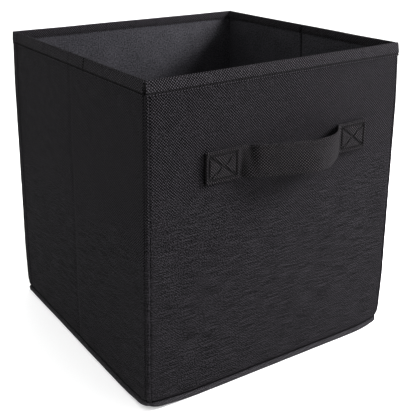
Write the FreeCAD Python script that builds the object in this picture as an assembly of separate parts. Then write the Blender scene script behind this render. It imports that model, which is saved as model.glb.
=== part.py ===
import FreeCAD, Part
import math
import os

# A square fabric storage bin that folds flat.
# Millimetres, +Z up, +X to the right along the front wall, the front wall (with the handle) at -Y.
# The origin is at the centre of the bin's footprint, on the surface that it stands on.

# Overall size, opened out
WIDTH = 267.0
DEPTH = 266.0
HEIGHT = 284.0

# Layers of a wall, from outside to inside
OUTER_CLOTH = 0.8
BOARD = 1.8
LINING = 0.8
WALL = OUTER_CLOTH + BOARD + LINING

# Folded hem around the rim
HEM_HEIGHT = 11.5
HEM_ROUNDING = 1.2

# Corner seams, where the outer cloth of two walls is joined
CORNER_WIDTH = 3.0
CORNER_ROUNDING = 2.0

# Rolled seam around the bottom, and the sewn bottom cloth inside it
ROLL_HEIGHT = 6.0
ROLL_WIDTH = 5.0
ROLL_CORNER_RADIUS = 12.0
ROLL_ROUNDING = 2.0
BOTTOM_CLOTH = 0.8

# Clearances that let the walls fold
WALL_LIFT = 0.3
CORNER_GAP = 0.4
CREASE_GAP = 0.2
BOARD_INSET = 4.0
BOARD_END_GAP = 1.0

# Loose base insert: a board in a cloth cover
INSERT_LIFT = 0.3
INSERT_SIDE_GAP = 0.8
INSERT_CLOTH = 0.5
INSERT_BOARD = 2.0

# Handle on the front wall
HANDLE_CENTRE_X = 7.5
HANDLE_CENTRE_Z = 208.0
STRAP_WIDTH = 28.0
STRAP_THICKNESS = 2.4
STRAP_FREE_SPAN = 114.0
STRAP_BOW = 26.0
STRAP_MIDDLE_HALF = 40.0
STRAP_CUT_GAP = 0.4
STRAP_ROOT_OVERLAP = 1.5
SEWN_END_LENGTH = 30.0
THREAD_WIDTH = 0.8
THREAD_HEIGHT = 0.5
THREAD_MARGIN = 3.2

# Levels
WALL_BOTTOM = ROLL_HEIGHT + WALL_LIFT
HEM_BOTTOM = HEIGHT - HEM_HEIGHT
BOARD_BOTTOM = WALL_BOTTOM + BOARD_END_GAP
BOARD_TOP = HEM_BOTTOM - BOARD_END_GAP
INSERT_BOTTOM = BOTTOM_CLOTH + INSERT_LIFT

# Tolerances for picking edges: a distance, and the cosine between parallel directions
SAME_PLACE = 0.01
PARALLEL = 0.99

# Half-lengths that the walls end at
HALF_WIDTH = WIDTH / 2
HALF_DEPTH = DEPTH / 2
SIDE_END = HALF_DEPTH - WALL - CORNER_GAP


def block(x0, x1, y0, y1, z0, z1):
    """A box between two corners."""
    return Part.makeBox(x1 - x0, y1 - y0, z1 - z0, FreeCAD.Vector(x0, y0, z0))


def wall_slab(side, start, end, outer, inner, low, high):
    """A flat layer of one wall: start and end run along the wall, outer and inner are
    depths inwards from the wall's outer face."""
    if side == "front":
        return block(start, end, -HALF_DEPTH + outer, -HALF_DEPTH + inner, low, high)
    if side == "back":
        return block(start, end, HALF_DEPTH - inner, HALF_DEPTH - outer, low, high)
    if side == "left":
        return block(-HALF_WIDTH + outer, -HALF_WIDTH + inner, start, end, low, high)
    return block(HALF_WIDTH - inner, HALF_WIDTH - outer, start, end, low, high)


def hem(side, start, end):
    """The folded rim band of one wall: layers of cloth with a rounded top fold."""
    band = wall_slab(side, start, end, 0, WALL, HEM_BOTTOM, HEIGHT)
    along = FreeCAD.Vector(1, 0, 0) if side in ("front", "back") else FreeCAD.Vector(0, 1, 0)
    fold_edges = []
    for edge in band.Edges:
        first, last = edge.Vertexes[0].Point, edge.Vertexes[-1].Point
        at_top = first.z > HEIGHT - SAME_PLACE and last.z > HEIGHT - SAME_PLACE
        runs_along = abs((last - first).normalize().dot(along)) > PARALLEL
        if at_top and runs_along:
            fold_edges.append(edge)
    return band.makeFillet(HEM_ROUNDING, fold_edges)


def wall_pieces(name, side, low, hem_span, cloth_span, board_span):
    """The four pieces of one flat stretch of wall. Each span is where a piece starts and
    ends along the wall."""
    board_inner = OUTER_CLOTH + BOARD
    return {
        name + "_outer_cloth": wall_slab(side, *cloth_span, 0, OUTER_CLOTH, low, HEM_BOTTOM),
        name + "_board": wall_slab(side, *board_span, OUTER_CLOTH, board_inner, BOARD_BOTTOM, BOARD_TOP),
        name + "_lining": wall_slab(side, *cloth_span, board_inner, WALL, low, HEM_BOTTOM),
        name + "_hem": hem(side, *hem_span),
    }


def full_wall(side, low):
    """The front or back wall, between its two corner seams."""
    cloth_end = HALF_WIDTH - CORNER_WIDTH
    board_end = cloth_end - BOARD_END_GAP
    return wall_pieces(
        side,
        side,
        low,
        (-HALF_WIDTH, HALF_WIDTH),
        (-cloth_end, cloth_end),
        (-board_end, board_end),
    )


def half_side_wall(name, side, towards_back):
    """One half of a side wall, from a corner to the crease down the wall's middle."""
    if towards_back:
        span = (CREASE_GAP, SIDE_END)
        board_span = (BOARD_INSET, SIDE_END - BOARD_END_GAP)
    else:
        span = (-SIDE_END, -CREASE_GAP)
        board_span = (-SIDE_END + BOARD_END_GAP, -BOARD_INSET)
    return wall_pieces(name, side, WALL_BOTTOM, span, span, board_span)


def corner_seam(x_sign, y_sign, low):
    """The upright seam where two walls' outer cloth meets, with its outer edge rounded."""
    x_outer = x_sign * HALF_WIDTH
    x_inner = x_sign * (HALF_WIDTH - CORNER_WIDTH)
    y_outer = y_sign * HALF_DEPTH
    y_inner = y_sign * (HALF_DEPTH - WALL)
    seam = block(
        min(x_outer, x_inner),
        max(x_outer, x_inner),
        min(y_outer, y_inner),
        max(y_outer, y_inner),
        low,
        HEM_BOTTOM,
    )
    outer_edges = []
    for edge in seam.Edges:
        middle = edge.CenterOfMass
        if abs(middle.x - x_outer) < SAME_PLACE and abs(middle.y - y_outer) < SAME_PLACE:
            outer_edges.append(edge)
    return seam.makeFillet(CORNER_ROUNDING, outer_edges)


def rounded_slab(half_x, half_y, radius, low, high):
    """A flat slab, centred on the origin, with upright edges rounded in plan."""
    slab = block(-half_x, half_x, -half_y, half_y, low, high)
    upright = []
    for edge in slab.Edges:
        if rise_of(edge) > SAME_PLACE:
            upright.append(edge)
    return slab.makeFillet(radius, upright)


def rise_of(edge):
    """How far an edge climbs from one end to the other."""
    return abs(edge.Vertexes[0].Point.z - edge.Vertexes[-1].Point.z)


def inside_roll(height):
    """The space inside the rolled seam, from the floor to a height."""
    return rounded_slab(
        HALF_WIDTH - ROLL_WIDTH,
        HALF_DEPTH - ROLL_WIDTH,
        ROLL_CORNER_RADIUS - ROLL_WIDTH,
        0,
        height,
    )


def bottom_seam_roll():
    """The rolled seam around the bottom: a ring with rounded outer edges."""
    outer = rounded_slab(HALF_WIDTH, HALF_DEPTH, ROLL_CORNER_RADIUS, 0, ROLL_HEIGHT)
    outer = outer.makeFillet(ROLL_ROUNDING, level_edges(outer))
    return outer.cut(inside_roll(ROLL_HEIGHT))


def level_edges(slab):
    """The edges around a slab's top and bottom faces."""
    return [edge for edge in slab.Edges if rise_of(edge) < SAME_PLACE]


def bottom_cloth():
    """The sewn cloth bottom, inside the rolled seam."""
    return inside_roll(BOTTOM_CLOTH)


def insert_slab(inset, low, high):
    """A layer of the base insert, inset from its edge, between two heights above its underside."""
    gap = ROLL_WIDTH + INSERT_SIDE_GAP + inset
    return rounded_slab(
        HALF_WIDTH - gap,
        HALF_DEPTH - gap,
        ROLL_CORNER_RADIUS - gap,
        INSERT_BOTTOM + low,
        INSERT_BOTTOM + high,
    )


def base_insert():
    """The loose base: a board, a cloth laid over it and down its edges, and a cloth under it."""
    board_low = INSERT_CLOTH
    board_high = board_low + INSERT_BOARD
    board = insert_slab(INSERT_CLOTH, board_low, board_high)
    cover = insert_slab(0, board_low, board_high + INSERT_CLOTH).cut(board)
    return {
        "insert_board": board,
        "insert_top_cloth": cover,
        "insert_bottom_cloth": insert_slab(0, 0, board_low),
    }


def strap_sector(first_x, last_x):
    """The part of the bowed strap between two distances from the handle's centre, in plan a
    piece of a ring whose middle line meets the sewn ends and bows out from the wall."""
    half_span = STRAP_FREE_SPAN / 2
    rise = STRAP_BOW - STRAP_THICKNESS
    radius = (half_span**2 + rise**2) / (2 * rise)
    wall_y = -HALF_DEPTH
    centre_y = wall_y - STRAP_BOW + STRAP_THICKNESS / 2 + radius
    low = HANDLE_CENTRE_Z - STRAP_WIDTH / 2
    centre = FreeCAD.Vector(HANDLE_CENTRE_X, centre_y, low)
    upright = FreeCAD.Vector(0, 0, 1)
    outer = Part.makeCylinder(radius + STRAP_THICKNESS / 2, STRAP_WIDTH, centre, upright)
    inner = Part.makeCylinder(radius - STRAP_THICKNESS / 2, STRAP_WIDTH, centre, upright)
    window = block(
        HANDLE_CENTRE_X + first_x,
        HANDLE_CENTRE_X + last_x,
        wall_y - STRAP_BOW - STRAP_THICKNESS,
        wall_y,
        low,
        low + STRAP_WIDTH,
    )
    return outer.cut(inner).common(window)


def handle_middle():
    """The free middle of the strap, which swings."""
    return strap_sector(-STRAP_MIDDLE_HALF, STRAP_MIDDLE_HALF)


def handle_end(x_sign):
    """A sewn end of the strap: the flat folded end on the wall and the bend that leaves it."""
    near = STRAP_MIDDLE_HALF + STRAP_CUT_GAP
    far = STRAP_FREE_SPAN / 2
    flat_inner = HANDLE_CENTRE_X + x_sign * far
    flat_outer = HANDLE_CENTRE_X + x_sign * (far + SEWN_END_LENGTH)
    flat = block(
        min(flat_inner, flat_outer),
        max(flat_inner, flat_outer),
        -HALF_DEPTH - STRAP_THICKNESS,
        -HALF_DEPTH,
        HANDLE_CENTRE_Z - STRAP_WIDTH / 2,
        HANDLE_CENTRE_Z + STRAP_WIDTH / 2,
    )
    if x_sign > 0:
        bend = strap_sector(near, far + STRAP_ROOT_OVERLAP)
    else:
        bend = strap_sector(-far - STRAP_ROOT_OVERLAP, -near)
    return flat.fuse(bend).removeSplitter()


def thread_bar(centre_x, length, turn):
    """A straight run of thread through a sewn end's centre, turned in the wall's plane."""
    bar = block(-length / 2, length / 2, 0, THREAD_HEIGHT, -THREAD_WIDTH / 2, THREAD_WIDTH / 2)
    bar.rotate(FreeCAD.Vector(0, 0, 0), FreeCAD.Vector(0, 1, 0), turn)
    top_of_cloth = -HALF_DEPTH - STRAP_THICKNESS - THREAD_HEIGHT
    bar.translate(FreeCAD.Vector(centre_x, top_of_cloth, HANDLE_CENTRE_Z))
    return bar


def box_stitching(x_sign):
    """The thread that sews an end down: a rectangle crossed corner to corner."""
    length = SEWN_END_LENGTH - 2 * THREAD_MARGIN
    width = STRAP_WIDTH - 2 * THREAD_MARGIN
    centre_x = HANDLE_CENTRE_X + x_sign * (STRAP_FREE_SPAN / 2 + SEWN_END_LENGTH / 2)
    outer_face = -HALF_DEPTH - STRAP_THICKNESS
    frame = block(
        centre_x - length / 2,
        centre_x + length / 2,
        outer_face - THREAD_HEIGHT,
        outer_face,
        HANDLE_CENTRE_Z - width / 2,
        HANDLE_CENTRE_Z + width / 2,
    )
    hole = block(
        centre_x - length / 2 + THREAD_WIDTH,
        centre_x + length / 2 - THREAD_WIDTH,
        outer_face - THREAD_HEIGHT,
        outer_face,
        HANDLE_CENTRE_Z - width / 2 + THREAD_WIDTH,
        HANDLE_CENTRE_Z + width / 2 - THREAD_WIDTH,
    )
    corner_turn = math.degrees(math.atan2(width, length))
    diagonal = math.hypot(length, width) - 2 * THREAD_WIDTH
    crossed = thread_bar(centre_x, diagonal, corner_turn)
    crossed = crossed.fuse(thread_bar(centre_x, diagonal, -corner_turn))
    return frame.cut(hole).fuse(crossed).removeSplitter()


def all_pieces():
    """Every piece of the bin, by name."""
    pieces = {}
    pieces.update(full_wall("front", ROLL_HEIGHT))
    pieces.update(full_wall("back", WALL_BOTTOM))
    for side in ("left", "right"):
        pieces.update(half_side_wall(side + "_front_half", side, False))
        pieces.update(half_side_wall(side + "_back_half", side, True))
    for x_sign, x_name in ((-1, "left"), (1, "right")):
        pieces["front_" + x_name + "_corner_seam"] = corner_seam(x_sign, -1, ROLL_HEIGHT)
        pieces["back_" + x_name + "_corner_seam"] = corner_seam(x_sign, 1, WALL_BOTTOM)
        pieces["handle_" + x_name + "_end"] = handle_end(x_sign)
        pieces["handle_" + x_name + "_stitching"] = box_stitching(x_sign)
    pieces["handle_strap"] = handle_middle()
    pieces["bottom_seam_roll"] = bottom_seam_roll()
    pieces["bottom_cloth"] = bottom_cloth()
    pieces.update(base_insert())
    return pieces


os.makedirs("parts", exist_ok=True)
for node, shape in all_pieces().items():
    print(node, len(shape.Solids), "solid", "valid" if shape.isValid() else "NOT VALID")
    shape.exportStep("parts/" + node + ".step")
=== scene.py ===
import math

import bmesh
import bpy
import numpy as np
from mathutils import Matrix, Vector, noise


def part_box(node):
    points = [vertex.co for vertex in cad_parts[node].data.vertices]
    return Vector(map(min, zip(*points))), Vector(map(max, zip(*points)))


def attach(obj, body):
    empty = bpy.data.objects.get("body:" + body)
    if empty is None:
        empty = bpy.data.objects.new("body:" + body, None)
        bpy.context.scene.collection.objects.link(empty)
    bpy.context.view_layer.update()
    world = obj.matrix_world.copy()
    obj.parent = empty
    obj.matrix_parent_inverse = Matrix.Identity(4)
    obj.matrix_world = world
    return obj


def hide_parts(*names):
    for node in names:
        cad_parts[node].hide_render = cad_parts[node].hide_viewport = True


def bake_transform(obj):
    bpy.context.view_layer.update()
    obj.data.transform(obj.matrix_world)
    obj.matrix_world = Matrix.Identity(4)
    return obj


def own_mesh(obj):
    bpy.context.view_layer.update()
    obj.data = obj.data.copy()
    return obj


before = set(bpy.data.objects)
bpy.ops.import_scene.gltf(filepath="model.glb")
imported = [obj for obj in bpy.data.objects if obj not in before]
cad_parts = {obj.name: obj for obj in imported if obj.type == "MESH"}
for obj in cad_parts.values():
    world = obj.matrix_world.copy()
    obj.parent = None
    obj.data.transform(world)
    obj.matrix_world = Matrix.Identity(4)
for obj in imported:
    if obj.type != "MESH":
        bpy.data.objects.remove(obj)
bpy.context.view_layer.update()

MM = 0.001

# Sizes and places, read from the frame
rim_low, rim_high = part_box("front_hem")
cloth_low, cloth_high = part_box("front_outer_cloth")
board_low, board_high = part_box("front_board")
side_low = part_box("left_front_half_outer_cloth")[0]
insert_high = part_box("insert_top_cloth")[1]
insert_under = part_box("insert_bottom_cloth")[0].z
left_end_low, left_end_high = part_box("handle_left_end")
right_end_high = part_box("handle_right_end")[1]
left_thread_low, left_thread_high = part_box("handle_left_stitching")

HALF_WIDTH = rim_high.x
HALF_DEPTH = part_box("back_hem")[1].y
HEIGHT = rim_high.z
HEM_BOTTOM = rim_low.z
WALL = rim_high.y - rim_low.y
OUTER_CLOTH = cloth_high.y - cloth_low.y
BOARD = board_high.y - board_low.y
ROLL_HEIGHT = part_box("bottom_seam_roll")[1].z
BOTTOM_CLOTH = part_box("bottom_cloth")[1].z
PANEL_END = cloth_high.x
SIDE_END = -side_low.y
SIDE_BOTTOM = side_low.z

# Handle, on the front wall. It is sewn on a little to the left of its place in the frame, and its
# sewn ends, with their boxes of stitching, are a little longer.
HANDLE_SHIFT = -2.2 * MM
SEWN_EXTRA = 3.0 * MM
STRAP_LOW = left_end_low.z + 1.0 * MM
STRAP_HIGH = left_end_high.z - 0.6 * MM
STRAP_LEFT = left_end_low.x + HANDLE_SHIFT
STRAP_RIGHT = right_end_high.x + HANDLE_SHIFT
STRAP_HEIGHT = STRAP_HIGH - STRAP_LOW
STRAP_MIDDLE = (STRAP_HIGH + STRAP_LOW) / 2
THREAD_INSET = left_thread_low.x - left_end_low.x
SEWN_LENGTH = (left_thread_high.x - left_thread_low.x) + 2 * THREAD_INSET + SEWN_EXTRA
STRAP_THICKNESS = 2.2 * MM
SEWN_THICKNESS = 3.6 * MM


# ---------------------------------------------------------------- how the cloth has settled

# How far each corner of the bin leans from square, in millimetres, as (x, y, z)
TOP_LEAN = {
    ("left", "front"): (2.3, -1.4, -0.5),
    ("right", "front"): (-2.6, 3.4, 2.3),
    ("left", "back"): (3.9, -1.7, -1.6),
    ("right", "back"): (0.1, -0.1, 0.0),
}
FOOT_LEAN = {
    ("left", "front"): (-3.8, -2.0, 0.0),
    ("right", "front"): (-0.2, -2.0, 0.0),
    ("left", "back"): (-1.8, 1.9, 0.0),
    ("right", "back"): (0.5, 0.5, 0.0),
}
MIDDLE_LEAN = {
    ("left", "front"): (-0.5, -0.5, 0.0),
    ("right", "front"): (2.2, -0.8, 0.0),
    ("left", "back"): (-1.2, 0.5, 0.0),
    ("right", "back"): (0.8, 0.5, 0.0),
}
# Bottom corners that lift off the floor, as (side, how far, how far along the walls)
CORNER_LIFTS = [(-1, 3.6 * MM, 28.0 * MM), (1, 4.4 * MM, 17.0 * MM)]
CORNER_LIFT_HEIGHT = 75.0 * MM
CORNER_TURN = 8.0 * MM
FRONT_LEFT_TURN = 14.0 * MM
CORNER_TURN_HEIGHT = 13.0 * MM
# A corner that turns less than this is left square
LEAST_TURN = 0.01 * MM
# How fast the lean of the middle comes in from the floor and from the rim
MIDDLE_RISE = 6.5


def turn_corners(p):
    """Square corners, drawn in to round ones towards the bottom, where the seam goes round."""
    in_x = HALF_WIDTH - np.abs(p[:, 0])
    in_y = HALF_DEPTH - np.abs(p[:, 1])
    high = np.clip(1 - np.maximum(p[:, 2] - ROLL_HEIGHT, 0) / CORNER_TURN_HEIGHT, 0, 1)
    turn = np.where((p[:, 0] < 0) & (p[:, 1] < 0), FRONT_LEFT_TURN, CORNER_TURN)
    size = np.maximum(turn * high**2, LEAST_TURN)
    near = np.minimum(in_x, in_y)
    along = np.maximum(in_x, in_y)
    ring = np.maximum(size - near, 1e-9)
    angle = math.pi / 4 * (1 - np.clip((along - near) / ring, 0, 1))
    new_along = size - ring * np.sin(angle)
    new_near = size - ring * np.cos(angle)
    inside = along < size
    x_is_near = in_x < in_y
    new_x = np.where(x_is_near, new_near, new_along)
    new_y = np.where(x_is_near, new_along, new_near)
    p[:, 0] = np.where(inside, np.sign(p[:, 0]) * (HALF_WIDTH - new_x), p[:, 0])
    p[:, 1] = np.where(inside, np.sign(p[:, 1]) * (HALF_DEPTH - new_y), p[:, 1])


def settle(points):
    """Points of the square bin, moved as its cloth has settled: walls that lean and bulge a
    little, and round bottom corners, of which the front ones lift off the floor."""
    p = np.array(points, float).reshape(-1, 3)
    turn_corners(p)
    across = np.clip((p[:, 0] / HALF_WIDTH + 1) / 2, 0, 1)
    deep = np.clip((p[:, 1] / HALF_DEPTH + 1) / 2, 0, 1)
    up = np.clip(p[:, 2] / HEIGHT, 0, 1)
    moved = p.copy()
    bulge = np.minimum(1, MIDDLE_RISE * up * (1 - up))
    for lean, height_share in ((TOP_LEAN, up), (FOOT_LEAN, 1 - up), (MIDDLE_LEAN, bulge)):
        for (side, end), offset in lean.items():
            share = (across if side == "right" else 1 - across) * (deep if end == "back" else 1 - deep)
            moved += (share * height_share)[:, None] * np.array(offset) * MM
    fade = np.clip(1 - p[:, 2] / CORNER_LIFT_HEIGHT, 0, 1) ** 2
    for side, lift, reach in CORNER_LIFTS:
        near_x = (HALF_WIDTH - side * p[:, 0]) / reach
        near_y = (HALF_DEPTH + p[:, 1]) / reach
        moved[:, 2] += lift * np.exp(-(near_x**2) - near_y**2) * fade
    return moved


def ripple(u, v, length, seed):
    """A smooth value from -1 to 1 that wanders over a cloth, with bumps about length apart."""
    return noise.noise(Vector((u / length, v / length, seed)))


class Wall:
    """One wall, as a flat place: u runs along it, v is height, depth is inwards. cut is where on
    the roll of cloth its middle was cut, in metres, and seed sets how its cloth is uneven."""

    def __init__(self, along, inwards, outer, cut, seed):
        self.along = np.array(along, float)
        self.inwards = np.array(inwards, float)
        self.outer = outer
        self.cut = cut
        self.seed = seed

    def at(self, u, v, depth):
        """Where a point of the wall stands before it has settled."""
        return self.along * u + self.inwards * (depth - self.outer) + np.array([0, 0, v])


WALLS = {
    "front": Wall((1, 0, 0), (0, 1, 0), HALF_DEPTH, cut=0.0, seed=1.0),
    "back": Wall((1, 0, 0), (0, -1, 0), HALF_DEPTH, cut=0.61, seed=2.0),
    "left": Wall((0, 1, 0), (1, 0, 0), HALF_WIDTH, cut=1.17, seed=3.0),
    "right": Wall((0, 1, 0), (-1, 0, 0), HALF_WIDTH, cut=1.73, seed=4.0),
}


# ---------------------------------------------------------------- meshes

def steps(start, end, size):
    """Evenly spaced values from start to end, about size apart."""
    return np.linspace(start, end, max(2, round(abs(end - start) / size) + 1))


def new_object(name, data):
    """An object in the scene, for a mesh, a lamp or a camera."""
    made = bpy.data.objects.new(name, data)
    bpy.context.scene.collection.objects.link(made)
    return made


def finish_mesh(name, points, faces, cloth_places, material, smooth_angle=50, painted_shades=None):
    """A closed mesh with its normals outwards, a cloth UV map in metres, and a material. Its last argument is
    painted shade for each point, from 0 to 1: how much its colour is darkened where shade falls in a seam, a
    fold, a groove or under the strap."""
    mesh = bpy.data.meshes.new(name)
    mesh.from_pydata([tuple(p) for p in points], [], faces)
    layer = mesh.uv_layers.new(name="cloth")
    corner_points = np.zeros(len(mesh.loops), np.int32)
    mesh.loops.foreach_get("vertex_index", corner_points)
    uv = np.array(cloth_places, np.float32).reshape(-1, 2)[corner_points]
    layer.data.foreach_set("uv", uv.ravel())
    # The crease attribute holds painted shade, which the cloth materials use to darken their colour
    if painted_shades is not None:
        kept = mesh.attributes.new("crease", "FLOAT", "POINT")
        kept.data.foreach_set("value", np.array(painted_shades, np.float32))
    edit = bmesh.new()
    edit.from_mesh(mesh)
    bmesh.ops.recalc_face_normals(edit, faces=edit.faces)
    edit.to_mesh(mesh)
    edit.free()
    mesh.polygons.foreach_set("use_smooth", [True] * len(mesh.polygons))
    mesh.set_sharp_from_angle(angle=math.radians(smooth_angle))
    mesh.materials.append(material)
    return new_object(name, mesh)


def grid_faces(across, up, first=0, flip=False):
    """Four-sided faces over a grid of points, numbered with up running fastest."""
    faces = []
    for i in range(across - 1):
        for j in range(up - 1):
            a = first + i * up + j
            face = (a, a + up, a + up + 1, a + 1)
            faces.append(face[::-1] if flip else face)
    return faces


def shell_faces(across, up):
    """Faces of a closed sheet: a grid on its outer face, one on its inner face, and the edge between."""
    count = across * up
    faces = grid_faces(across, up) + grid_faces(across, up, count, True)
    rim = [i * up for i in range(across)]
    rim += [(across - 1) * up + j for j in range(1, up)]
    rim += [i * up + up - 1 for i in range(across - 2, -1, -1)]
    rim += [j for j in range(up - 2, 0, -1)]
    for a, b in zip(rim, rim[1:] + rim[:1]):
        faces.append((a, a + count, b + count, b))
    return faces


def cloth_shell(name, wall, us, vs, depths, relief, material, painted_shade_at=None):
    """A closed sheet between an outer and an inner depth of a wall. relief is how much further in
    each place of it lies."""
    flat = [(u, v) for u in us for v in vs]
    points = [wall.at(u, v, depth + relief(u, v)) for depth in depths for u, v in flat]
    places = [(wall.cut + u, v) for u, v in flat] * 2
    # Painted shade for each point, the same on both faces of the sheet
    painted_shades = [painted_shade_at(u, v) for u, v in flat] * 2 if painted_shade_at else None
    return finish_mesh(name, settle(points), shell_faces(len(us), len(vs)), places, material, painted_shades=painted_shades)


def tube(name, rings, places, material, closed=False, painted_shades=None):
    """A tube through rings of points, closed on itself or capped at both ends."""
    count, around = len(rings), len(rings[0])
    points = [p for ring in rings for p in ring]
    faces = []
    for i in range(count if closed else count - 1):
        j = (i + 1) % count
        for k in range(around):
            m = (k + 1) % around
            faces.append((i * around + k, j * around + k, j * around + m, i * around + m))
    if not closed:
        faces.append(tuple(range(around)))
        faces.append(tuple((count - 1) * around + k for k in range(around))[::-1])
    return finish_mesh(name, settle(points), faces, places, material, painted_shades=painted_shades)


# ---------------------------------------------------------------- shader groups

class Nodes:
    """Adds nodes to a tree and links them, left to right."""

    def __init__(self, tree):
        self.tree = tree
        self.column = 0

    def add(self, kind, inputs=None, **settings):
        """A node, with its settings made before its inputs are given."""
        node = self.tree.nodes.new(kind)
        self.column += 1
        node.location = (180 * self.column, 0)
        for key, value in settings.items():
            setattr(node, key, value)
        for key, value in (inputs or {}).items():
            self.put(node.inputs[key], value)
        return node

    def put(self, socket, value):
        """Gives a socket a plain value, or links another socket to it."""
        if isinstance(value, bpy.types.NodeSocket):
            self.tree.links.new(value, socket)
        else:
            socket.default_value = value

    def math(self, operation, a, b=0.0):
        return self.add("ShaderNodeMath", {0: a, 1: b}, operation=operation).outputs[0]

    def ramp(self, value, low, high, to_low=0.0, to_high=1.0):
        """value from low to high, stretched to to_low .. to_high and held there outside."""
        given = {"Value": value, "From Min": low, "From Max": high, "To Min": to_low, "To Max": to_high}
        return self.add("ShaderNodeMapRange", given).outputs["Result"]

    def noise(self, vector, scale, detail=2.0, roughness=0.5):
        given = {"Vector": vector, "Scale": scale, "Detail": detail, "Roughness": roughness}
        return self.add("ShaderNodeTexNoise", given).outputs["Fac"]

    def wave(self, along, spacing):
        """A sine that repeats every spacing along a value."""
        turns = self.math("DIVIDE", along, spacing)
        return self.math("SINE", self.math("MULTIPLY", turns, 2 * math.pi))

    def mix(self, factor, a, b, clamp=True):
        """The colour that lies factor of the way from a to b."""
        given = {"Factor": factor, "A": a, "B": b}
        node = self.add("ShaderNodeMix", given, data_type="RGBA", clamp_factor=clamp)
        return node.outputs["Result"]

    def relief(self, shader, height, distance):
        """Bumps as deep as distance, on a shader."""
        bump = self.add("ShaderNodeBump", {"Height": height, "Strength": 1.0, "Distance": distance})
        self.put(shader.inputs["Normal"], bump.outputs["Normal"])


def shader_group(name, inputs, outputs):
    """An empty shader node group with named sockets: (group, its node adder, its input, its output).
    Place is a vector, and every other input is a number with its default."""
    group = bpy.data.node_groups.new(name, "ShaderNodeTree")
    group.interface.new_socket(name="Place", in_out="INPUT", socket_type="NodeSocketVector")
    for socket, default in inputs.items():
        made = group.interface.new_socket(name=socket, in_out="INPUT", socket_type="NodeSocketFloat")
        made.default_value = default
    for socket in outputs:
        group.interface.new_socket(name=socket, in_out="OUTPUT", socket_type="NodeSocketFloat")
    nodes = Nodes(group)
    return group, nodes, nodes.add("NodeGroupInput").outputs, nodes.add("NodeGroupOutput").inputs


RIB_WANDER = 3.0 * MM
RIB_MEAN = 0.275
RIB_CONTRAST = 3.0
SLUB_CONTRAST = 0.85
GRAIN_CONTRAST = 4.2
# How many slubs there are in a metre, along the weft and up the wall
SLUBS_ALONG = 48.0
SLUBS_UP = 1050.0
# The height over which the ribs wear away, and how far that height wanders, in metres
WORN_FADE = 0.055
WORN_DRIFT = 0.18


def linen_weave_group():
    """Linen-look cloth: diagonal twill ribs, slubs along the weft, fine yarn grain. Lower down the
    ribs are worn, and the slubs show instead."""
    group, n, given, out = shader_group(
        "linen_weave",
        {
            "Rib Spacing": 0.0024,
            "Rib Strength": 1.0,
            "Slub Strength": 1.0,
            "Grain Strength": 1.0,
            "Worn Below": 0.20,
            "Worn Ribs": 0.14,
        },
        ("Light", "Height"),
    )
    place, spacing, worn_below = given["Place"], given["Rib Spacing"], given["Worn Below"]
    split = n.add("ShaderNodeSeparateXYZ", {0: place})
    u, v = split.outputs[0], split.outputs[1]

    wander = n.noise(place, 60.0)
    diagonal = n.math("ADD", n.math("ADD", u, v), n.math("MULTIPLY", wander, RIB_WANDER))
    ridge = n.ramp(n.wave(diagonal, spacing), -1.0, 1.0)
    crossing = n.math("DIVIDE", n.math("SUBTRACT", u, v), spacing)
    crossing = n.math("ADD", crossing, n.math("MULTIPLY", wander, 1.5))
    knot = n.ramp(n.wave(crossing, 1.0), -1.0, 1.0, 0.1, 1.0)
    rib = n.math("SUBTRACT", n.math("MULTIPLY", ridge, knot), RIB_MEAN)

    patchy = n.ramp(n.noise(place, 110.0, 3.0), 0.35, 0.65, 0.35, 1.65)
    drift = n.math("MULTIPLY", n.math("SUBTRACT", n.noise(place, 9.0), 0.5), WORN_DRIFT)
    all_worn = n.math("SUBTRACT", worn_below, WORN_FADE)
    wear = n.ramp(n.math("ADD", v, drift), all_worn, worn_below, given["Worn Ribs"], 1.0)
    rib = n.math("MULTIPLY", rib, n.math("MULTIPLY", patchy, wear))
    rib = n.math("MULTIPLY", rib, given["Rib Strength"])

    scaled = {0: n.math("MULTIPLY", u, SLUBS_ALONG), 1: n.math("MULTIPLY", v, SLUBS_UP)}
    slub = n.noise(n.add("ShaderNodeCombineXYZ", scaled).outputs[0], 1.0, 3.0, 0.68)
    slub = n.math("SUBTRACT", n.ramp(slub, 0.38, 0.72), 0.4)
    slub = n.math("MULTIPLY", slub, n.math("SUBTRACT", 1.3, n.math("MULTIPLY", wear, 0.85)))
    slub = n.math("MULTIPLY", slub, given["Slub Strength"])

    grain = n.math("SUBTRACT", n.noise(place, 1050.0, 1.0, 0.6), 0.5)
    grain = n.math("MULTIPLY", grain, given["Grain Strength"])

    light = n.math("ADD", n.math("MULTIPLY", rib, RIB_CONTRAST), n.math("MULTIPLY", slub, SLUB_CONTRAST))
    n.put(out["Light"], n.math("ADD", light, n.math("MULTIPLY", grain, GRAIN_CONTRAST)))
    height = n.math("ADD", n.math("MULTIPLY", rib, 2.0), n.math("MULTIPLY", slub, 0.25))
    n.put(out["Height"], n.math("ADD", height, n.math("MULTIPLY", grain, 0.8)))
    return group


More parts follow.
